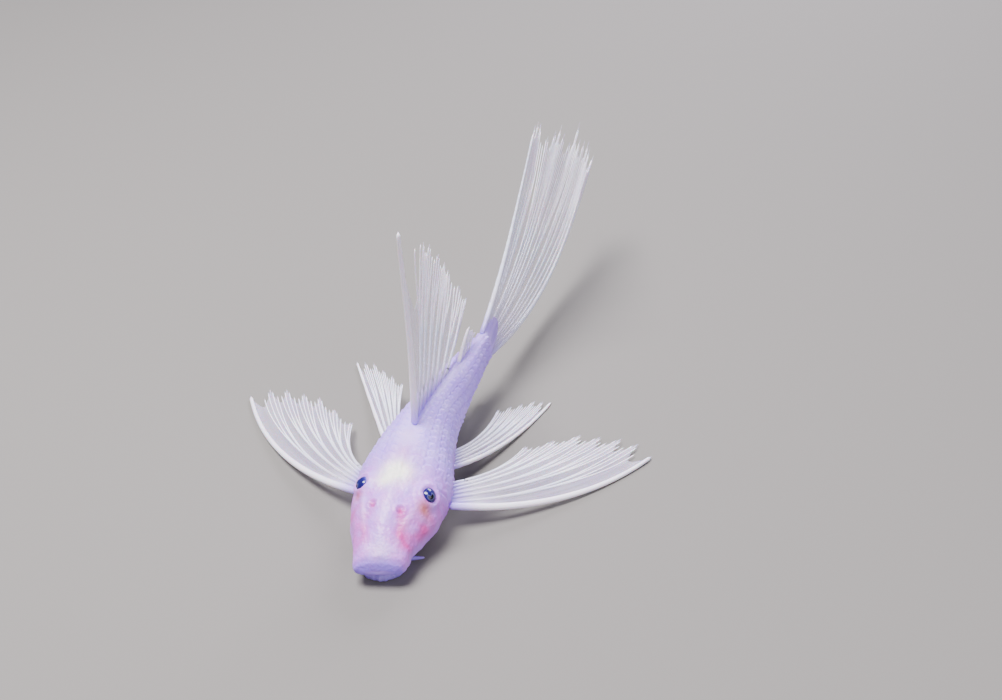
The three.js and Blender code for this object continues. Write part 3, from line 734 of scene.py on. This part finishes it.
def make_mouth():
    bm = bmesh.new()
    line = [bm.verts.new((r, 0, z)) for r, z in LIP_PROFILE]
    edges = [bm.edges.new(pair) for pair in zip(line, line[1:])]
    around = {"axis": (0, 0, 1), "cent": (0, 0, 0), "angle": math.tau}
    bmesh.ops.spin(bm, geom=line + edges, steps=96, use_merge=True, **around)
    bmesh.ops.remove_doubles(bm, verts=bm.verts, dist=0.004)
    bmesh.ops.subdivide_edges(bm, edges=bm.edges[:], cuts=2, use_grid_fill=True, smooth=0)
    for vert in bm.verts:
        x, y, z = vert.co
        r = math.hypot(x, y)
        turn = math.atan2(y, x)
        pimple = noise.noise(Vector((x, y, 0)) * 3.3)
        if z < 1:
            z += 0.16 * max(pimple, 0) * ease(r / 0.8) * ease((z - 0.02) / 0.2)
        wave = 1 + 0.012 * math.sin(turn * 9) + 0.01 * math.sin(turn * 23 + 1)
        slit = bump(y + 0.1 + 0.04 * x * x, 0.16) * ease((2.0 - abs(x)) / 0.5)
        if z < 1.2:
            z += 0.6 * slit
        vert.co = set_down(x * MOUTH_WIDE / LIP_RIM * wave, y * MOUTH_LONG / LIP_RIM * wave, max(z, 0.0))
    for sign in (1, -1):
        add_barbel(bm, sign)
    bmesh.ops.remove_doubles(bm, verts=bm.verts, dist=0.002)
    piece("sucker_mouth", bm, [LIPS], ["mouth_disc"])


make_mouth()

# %% [markdown]
# ## Fins
#
# A fin is a clear web held by rays. Each ray is a rod that forks twice on its way to the edge, and the
# first ray of the back, breast and belly fins is a stout spine. Web and rays follow the same surface:
# rays are curves from their foot on the body to their tip, and a point between two rays lies between
# the two curves. A picture of rays on a flat sheet would be lighter, but real rays stand out of the
# web, catch the light and cast shadows, so they are made as rods.

# %% Fin materials
RAY_SHADE = (0.84, 0.76, 1.0)
RAY_PALE = (1.0, 0.98, 1.0)
WEB_SHADE = (0.66, 0.54, 0.92)
WEB_PALE = (0.92, 0.86, 1.0)

RAYS, tree, shader = new_material("pleco_rays")
shader.inputs["Roughness"].default_value = 0.32
shader.inputs["Subsurface Weight"].default_value = 0.25
shader.inputs["Subsurface Scale"].default_value = 0.0004
shader.inputs["Coat Weight"].default_value = 0.3
grain = add_grain(tree, shader, spacing=0.00018, depth=0.00003)
colour = blend_colour(tree, grain.outputs["Mottle"], RAY_SHADE, RAY_PALE)
colour = blend_colour(tree, attribute(tree, "foot"), colour, LAVENDER)
tree.links.new(colour, shader.inputs["Base Color"])

WEB, tree, shader = new_material("pleco_web")
shader.inputs["Roughness"].default_value = 0.3
shader.inputs["Subsurface Weight"].default_value = 0.2
shader.inputs["Subsurface Scale"].default_value = 0.0003
grain = add_grain(tree, shader, spacing=0.00025, depth=0.00002)
colour = blend_colour(tree, grain.outputs["Mottle"], WEB_SHADE, WEB_PALE)
colour = blend_colour(tree, attribute(tree, "foot"), colour, LAVENDER)
tree.links.new(colour, shader.inputs["Base Color"])
tree.links.new(attribute(tree, "cover"), shader.inputs["Alpha"])
print("fin materials:", RAYS.name, WEB.name)

# %% [markdown]
# A fin's surface is asked for by a ray number, which may lie between two rays, and by how far up the
# fin the point is, from 0 at the foot to 1 at the tips.

# %% The surface of a fin
def spaced(count, keys):
    """Sizes for each ray, from a few key rays: rows of a ray number and its sizes."""
    made = []
    for i in range(count):
        k = 0
        while k < len(keys) - 2 and i > keys[k + 1][0]:
            k += 1
        t = (i - keys[k][0]) / (keys[k + 1][0] - keys[k][0])
        made.append([mix(a, b, t) for a, b in zip(keys[k][1:], keys[k + 1][1:])])
    return made


class Fin:
    """Rays from foot to tip, each through its middle, with a ripple that grows to the edge."""

    def __init__(self, feet, middles, tips, notches, ripple=0.0, phase=0.0):
        self.rays = list(zip(feet, [2 * m - (f + t) / 2 for f, m, t in zip(feet, middles, tips)], tips))
        self.last = len(feet) - 1
        self.notches = notches
        self.ripple = ripple
        self.phase = phase
        across = feet[-1] - feet[0]
        self.normal = across.cross(tips[self.last // 2] - feet[self.last // 2]).normalized()

    def ray(self, i, v):
        foot, control, tip = self.rays[i]
        return foot * (1 - v) ** 2 + control * 2 * v * (1 - v) + tip * v * v

    def point(self, u, v):
        i = clamp(int(u), 0, self.last - 1)
        place = self.ray(i, v).lerp(self.ray(i + 1, v), u - i)
        wave = math.sin(1.9 * u + self.phase) * 0.6 + math.sin(0.7 * u + 5 * v + self.phase)
        return place + self.normal * self.ripple * wave * v * v

    def reach(self, u):
        """How far up the web goes: all the way at a ray, less between two, with a frayed edge."""
        i = clamp(int(u), 0, self.last - 1)
        depth = 1 - self.notches(i)
        between = 1 - abs(2 * (u - i) - 1)
        frayed = 0.02 * noise.noise(Vector((u * 9, self.phase, 3)))
        return 1 - depth * between ** (0.6 if depth < 0.2 else 0.35) + frayed * between


# %% [markdown]
# The web is a flat grid whose points are moved onto the fin's surface. It is most solid near the body
# and clear towards its edge, and a wall thickness makes it a real sheet.

# %% Web of a fin
WEB_THICK = 0.1


def make_web(name, fin, node_name, rows=70, per_ray=9, cover=(0.85, 0.24), floor=False):
    bm = bmesh.new()
    alpha = bm.verts.layers.float.new("cover")
    foot = bm.verts.layers.float.new("foot")
    bmesh.ops.create_grid(bm, x_segments=per_ray * fin.last, y_segments=rows, size=0.5)
    for vert in bm.verts:
        u = (vert.co.x + 0.5) * fin.last
        v = (vert.co.y + 0.5) * fin.reach(u)
        near_ray = 1 - abs(2 * (u - int(u)) - 1)
        streak = 0.5 + 0.5 * noise.noise(Vector((u * 6, v * 2.2, fin.phase)))
        solid = mix(cover[0], cover[1], ease(v / 0.28))
        vert[alpha] = clamp(solid * (0.6 + 0.7 * streak) - 0.05 * near_ray * v)
        vert[foot] = 1 - ease(v / 0.12)
        vert.co = fin.point(u, v)
        if floor:
            vert.co.z = max(vert.co.z, WEB_THICK)
    made = piece(name + "_web", bm, [WEB], [node_name])
    wall = made.modifiers.new("thickness", "SOLIDIFY")
    wall.thickness = WEB_THICK * MM
    wall.offset = 0


# %% [markdown]
# A ray forks into two branches and then four, and each branch keeps small knuckles where its segments
# meet. Curves with a round bevel could make the branches too, but a grid rolled up along a path closes
# at both ends, keeps its few faces, and can be held above the floor point by point.

# %% Rays of a fin
RAY_SIDES = 8
RAY_FORKS = (0.16, 0.46)
BRANCH_SPREAD = 0.2475


def roll(bm, path, radius, side_of, rings, layer, floor):
    """A rod along a path: a grid rolled up round it, thin at both ends so that it closes."""
    for vert in bmesh.ops.create_grid(bm, x_segments=rings, y_segments=RAY_SIDES, size=0.5)["verts"]:
        t, turn = vert.co.x + 0.5, math.tau * (vert.co.y + 0.5)
        here = path(t)
        ahead = (path(min(t + 0.02, 1)) - path(max(t - 0.02, 0))).normalized()
        side = ahead.cross(side_of).normalized()
        up = side.cross(ahead)
        vert.co = here + (side * math.cos(turn) + up * math.sin(turn)) * radius(t)
        vert[layer] = 1 - ease(t / 0.18)
        if floor:
            vert.co.z = max(vert.co.z, 0.0)


def make_rays(name, fin, node_name, width, spine=0.0, rings=44, edges=1.0, floor=False):
    bm = bmesh.new()
    foot = bm.verts.layers.float.new("foot")
    for i in range(fin.last + 1):
        stout = spine > 0 and i == 0
        length = (fin.ray(i, 1) - fin.ray(i, 0)).length
        thick = spine if stout else width * (edges if i in (0, fin.last) else 1)
        branches = (0,) if stout else (-1.5, -0.5, 0.5, 1.5)
        for branch in branches:

            def along_ray(t, i=i, branch=branch):
                first = 0.5 * math.copysign(1, branch) if branch else 0
                opened = first * ease((t - RAY_FORKS[0]) / 0.5)
                opened += (branch - first) * ease((t - RAY_FORKS[1]) / 0.5)
                u = clamp(i + opened * BRANCH_SPREAD, 0, fin.last)
                return fin.point(u, t * (1 - 0.035 * abs(branch)))

            def radius(t, thick=thick, stout=stout, length=length):
                closed = min(1, t * length / 0.3, (1 - t) * length / 0.6)
                slim = 1 - 0.5 * t if stout else mix(1, 0.42, ease(t / 0.9))
                joints = 1 + 0.05 * math.sin(t * length * 9)
                return thick * slim * joints * max(closed, 0.0)

            roll(bm, along_ray, radius, fin.normal, rings, foot, floor)
    bmesh.ops.remove_doubles(bm, verts=bm.verts, dist=0.0004)
    piece(name + "_rays", bm, [RAYS], [node_name])


# How far under the skin the rays have their feet
SUNK = -0.45

# %% [markdown]
# ### The fin of the back
#
# Its spine stands almost upright and free of the first soft ray near its tip. The last rays lie back
# over the tail. A row of the table holds a ray's number, how far back and how high its tip is, and how
# far back the ray bows. The rays between two rows are worked out.

# %% Back fin
DORSAL_AT, DORSAL_BASE, DORSAL_RAYS = 19.5, 11, 8
DORSAL_TIPS = (
    (0, 0.5, 39.4, 0.8), (1, 8.4, 32.2, 0.6), (2, 10.6, 30.2, 0.4), (3, 13.1, 26.8, 0.2),
    (5, 17.6, 20.8, 0), (6, 22.0, 14.6, -0.2), (7, 24.6, 10.4, -0.4),
)


def make_back_fin():
    point, ahead, _, up = frame_at(DORSAL_AT)
    feet, middles, tips = [], [], []
    for i, (back, rise, bow) in enumerate(spaced(DORSAL_RAYS, DORSAL_TIPS)):
        feet.append(skin_point(DORSAL_AT + DORSAL_BASE * i / (DORSAL_RAYS - 1), 0.0, SUNK))
        tips.append(point + ahead * back + up * rise)
        middles.append((feet[-1] + tips[-1]) / 2 + ahead * bow)
    fin = Fin(feet, middles, tips, lambda i: 0.6 if i == 0 else 0.9, ripple=0.22, phase=1)
    make_web("back_fin", fin, "dorsal_fin")
    make_rays("back_fin", fin, "dorsal_fin", 0.22, spine=0.5)


make_back_fin()

# %% [markdown]
# ### The tail fin
#
# Long and narrow at its root, it opens into an upper lobe, a middle and a longer lower lobe with a thin
# trailing thread, and is split deeply behind the upper lobe. Each row again starts with a ray's number
# and its tip's place back and up. The last two sizes are how far the ray bows back and up.

# %% Tail fin
CAUDAL_RAYS, CAUDAL_MIDDLE, CAUDAL_HALF = 16, 3.4, 2.3
CAUDAL_TIPS = (
    (0, 23.2, 20.9, 1.2, -1.5), (2, 25.4, 20.6, 1.2, -1.8), (4, 27.0, 18.8, 1.2, -2.2),
    (5, 29.4, 14.8, 1.0, -2.6), (7, 34.0, 13.5, 0.8, -3.2), (9, 35.4, 9.2, 0.6, -4.0),
    (10, 39.9, 9.8, 0.5, -4.6), (11, 40.4, 5.9, 0.4, -5.1), (13, 43.9, 2.8, 0.2, -6.0),
    (15, 46.2, -1.8, 0, -6.6),
)
CAUDAL_SPLITS = {4: 0.62, 9: 0.84, 10: 0.84}


def make_tail_fin():
    _, ahead, left, up = frame_at(BODY_LENGTH)
    back = ahead * math.cos(TAIL_FIN_TURN) + left * math.sin(TAIL_FIN_TURN)
    centre = bend(0, BODY_LENGTH, CAUDAL_MIDDLE)
    feet, middles, tips = [], [], []
    for i, (x, rise, bow_back, bow_up) in enumerate(spaced(CAUDAL_RAYS, CAUDAL_TIPS)):
        height = CAUDAL_MIDDLE + mix(CAUDAL_HALF, -CAUDAL_HALF, i / (CAUDAL_RAYS - 1))
        feet.append(bend(0, BODY_LENGTH - 0.6, height))
        tips.append(centre + back * x + up * rise)
        middles.append((feet[-1] + tips[-1]) / 2 + back * bow_back + up * bow_up)
    fin = Fin(feet, middles, tips, lambda i: CAUDAL_SPLITS.get(i, 0.93), ripple=0.3, phase=2.4)
    make_web("tail_fin", fin, "caudal_fin", rows=90, per_ray=7)
    make_rays("tail_fin", fin, "caudal_fin", 0.17, rings=60, edges=2.2)


make_tail_fin()

# %% [markdown]
# ### The small fins of the middle line
#
# The fat fin is a short spine with a flap of skin behind it, and the fin behind the vent trails under
# the tail.

# %% Small fins
def make_small_fin(name, node_name, count, at, base, below, first, last, width, spine):
    ahead, up = frame_at(at)[1], frame_at(at)[3]
    feet, middles, tips = [], [], []
    for i in range(count):
        t = i / (count - 1)
        back, rise = mix(first[0], last[0], t), mix(first[1], last[1], t)
        foot = skin_point(at + base * t, math.pi if below else 0.0, 0)
        feet.append(foot - up * math.copysign(0.4, rise))
        tips.append(foot + ahead * back + up * rise)
        middles.append((foot + tips[-1]) / 2 + up * rise * 0.06)
    fin = Fin(feet, middles, tips, lambda i: 0.9, ripple=0.12, phase=0.3 * count)
    make_web(name, fin, node_name, rows=36, cover=(0.95, 0.5))
    make_rays(name, fin, node_name, width, spine=spine, rings=30)


make_small_fin(
    "vent_fin", "anal_fin", count=5, at=30.4, base=2.8, below=True,
    first=(7.5, -3.4), last=(5.4, -1.2), width=0.16, spine=0.2,
)
make_small_fin(
    "fat_fin", "adipose_fin", count=3, at=34.6, base=3, below=False,
    first=(4.2, 3.3), last=(2.6, 1.3), width=0.12, spine=0.3,
)

# %% [markdown]
# ### The paired fins
#
# The breast fins reach out and back from behind the gills and lie on the floor along their spines. The
# belly fins stand further back. Left and right differ, as the fish is not lying quite evenly. A row of
# these tables holds a ray's number, then the place of its tip and that of its middle: how far out, back
# and up.

# %% Paired fins
PECTORAL = {"rays": 7, "at": 12.4, "base": 2.4, "from": 93, "to": 82}
PECTORAL_TIPS = (
    (0, 27.9, 33.4, 0.42, 18.6, 20.8, 0.9), (1, 25.6, 35.4, 0.5, 17.0, 22.2, 1.5),
    (2, 23.1, 35.6, 0.6, 15.6, 22.8, 2.0), (4, 17.6, 34.3, 0.9, 12.4, 22.8, 2.6),
    (6, 11.0, 28.8, 1.3, 9.3, 21.0, 3.0),
)
PELVIC = {"rays": 6, "at": 19.9, "base": 2.6, "from": 118, "to": 104}
PELVIC_TIPS = {
    "left": (
        (0, 15.8, 39.6, 0.42, 10.6, 28.6, 0.8), (2, 13.4, 39.2, 0.7, 9.4, 29.2, 1.3),
        (5, 8.6, 34.4, 2.0, 7.2, 28.0, 2.2),
    ),
    "right": (
        (0, 14.8, 44.2, 0.5, 8.6, 31.6, 1.0), (2, 11.8, 43.2, 1.4, 6.9, 31.6, 1.8),
        (5, 5.6, 37.0, 2.8, 4.6, 29.6, 2.8),
    ),
}
PECTORAL_TURN = {"left": math.radians(-9), "right": 0.0}


def make_paired_fin(name, node_name, side, form, keys, turn, width, spine):
    sign = 1 if side == "left" else -1
    steps = [i / (form["rays"] - 1) for i in range(form["rays"])]
    angles = [math.radians(mix(form["from"], form["to"], t)) for t in steps]
    places = [form["at"] + form["base"] * t for t in steps]
    pivot = skin_point(places[0], sign * angles[0], 0.3)
    turned = Matrix.Rotation(sign * turn, 4, "Z")
    feet, middles, tips = [], [], []
    for s, angle, sizes in zip(places, angles, spaced(form["rays"], keys)):
        feet.append(skin_point(s, sign * angle, SUNK))
        for points, (x, y, z) in ((tips, sizes[:3]), (middles, sizes[3:])):
            points.append(pivot + turned @ (Vector((sign * x, y, z)) - pivot))
    fin = Fin(feet, middles, tips, lambda i: 0.88, ripple=0.18, phase=sign * 1.3 + form["at"])
    make_web(name, fin, node_name, floor=True)
    make_rays(name, fin, node_name, width, spine=spine, floor=True)


for side in ("left", "right"):
    breast = f"breast_fin_{side}", f"pectoral_fin_{side}"
    make_paired_fin(*breast, side, PECTORAL, PECTORAL_TIPS, PECTORAL_TURN[side], width=0.2, spine=0.5)
    belly = f"belly_fin_{side}", f"pelvic_fin_{side}"
    make_paired_fin(*belly, side, PELVIC, PELVIC_TIPS[side], turn=0.0, width=0.18, spine=0.36)

# %% [markdown]
# ## Floor, light and camera
#
# The floor is plain and a little darker than the fish, so that the clear fins still show against it. A
# soft light hangs high above the head, with a weaker one in front, to the picture's right, and one
# behind for the fins' edges.

# %% Floor
FLOOR_COLOUR = (0.19, 0.18, 0.168)
FLOOR_HALF = 2.5
bm = bmesh.new()
bmesh.ops.create_grid(bm, x_segments=1, y_segments=1, size=FLOOR_HALF)
mesh = bpy.data.meshes.new("floor")
bm.to_mesh(mesh)
bm.free()
floor = bpy.data.objects.new("floor", mesh)
bpy.context.scene.collection.objects.link(floor)
material, tree, shader = new_material("floor")
shader.inputs["Base Color"].default_value = (*FLOOR_COLOUR, 1)
shader.inputs["Roughness"].default_value = 0.85
mesh.materials.append(material)
floor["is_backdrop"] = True
print("floor:", 2 * FLOOR_HALF, "m wide")


# %% [markdown]
# The lights are small, close and nearly white, in the scale of a small fish. A dim room fills in the
# shadows.

# %% Lights
def area_light(name, place, aim, size, energy, tint):
    light = bpy.data.lights.new(name, "AREA")
    light.size = size
    light.energy = energy
    light.color = tint
    lamp = bpy.data.objects.new(name, light)
    lamp.location = place
    lamp.rotation_euler = (Vector(aim) - Vector(place)).to_track_quat("-Z", "Y").to_euler()
    bpy.context.scene.collection.objects.link(lamp)
    print(name, "light", energy, "W")


HEART = (0, -0.01, 0.01)
area_light("key", (-0.10, -0.05, 0.36), HEART, size=0.16, energy=4.2, tint=(0.99, 0.97, 1.0))
area_light("fill", (0.30, -0.26, 0.16), HEART, size=0.25, energy=0.9, tint=(0.90, 0.86, 1.0))
area_light("rim", (0.06, 0.32, 0.2), HEART, size=0.16, energy=1.6, tint=(0.90, 0.88, 1.0))
world = bpy.data.worlds.new("soft_room")
world.use_nodes = True
world.node_tree.nodes["Background"].inputs["Color"].default_value = (0.80, 0.80, 0.88, 1)
world.node_tree.nodes["Background"].inputs["Strength"].default_value = 0.42
bpy.context.scene.world = world

# %% [markdown]
# The camera looks down from in front of the snout, a little from the fish's left. Its lens is an
# ordinary one, and its place was found by laying the fish's points over the photograph.

# %% Camera
IMAGE_WIDTH = 1002
FOCAL_PIXELS = 1327
SENSOR = 36
AZIMUTH, ELEVATION = math.radians(9.84), math.radians(36)
DISTANCE, SLIDE, RISE = 172.4, -12.3, -16.4
LOOK_AT = Vector((0, 15, 5))

level = math.cos(ELEVATION)
back = Vector((math.sin(AZIMUTH) * level, -math.cos(AZIMUTH) * level, math.sin(ELEVATION)))
right = Vector((math.cos(AZIMUTH), math.sin(AZIMUTH), 0))
above = back.cross(right)
camera_data = bpy.data.cameras.new("camera")
camera_data.sensor_width = SENSOR
camera_data.lens = SENSOR * FOCAL_PIXELS / IMAGE_WIDTH
camera_data.clip_start = 0.01
camera = bpy.data.objects.new("camera", camera_data)
camera.location = (LOOK_AT + back * DISTANCE - right * SLIDE - above * RISE + shift) * MM
camera.rotation_euler = Matrix((right, above, back)).transposed().to_euler()
bpy.context.scene.collection.objects.link(camera)
bpy.context.scene.camera = camera
print("camera:", round(camera_data.lens, 1), "mm lens,", DISTANCE, "mm away")

# %% [markdown]
# At the end the boxes of the dressed fish and of the solids are printed; the fish should hardly pass the
# solids' box.

# %% Sizes and finish
visual_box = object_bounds()
boxes = {"cad": [list(corner) for corner in cad_box], "visual": [list(corner) for corner in visual_box]}
for name, box in boxes.items():
    print(name, "box, mm:", [[round(c / MM, 2) for c in corner] for corner in box])
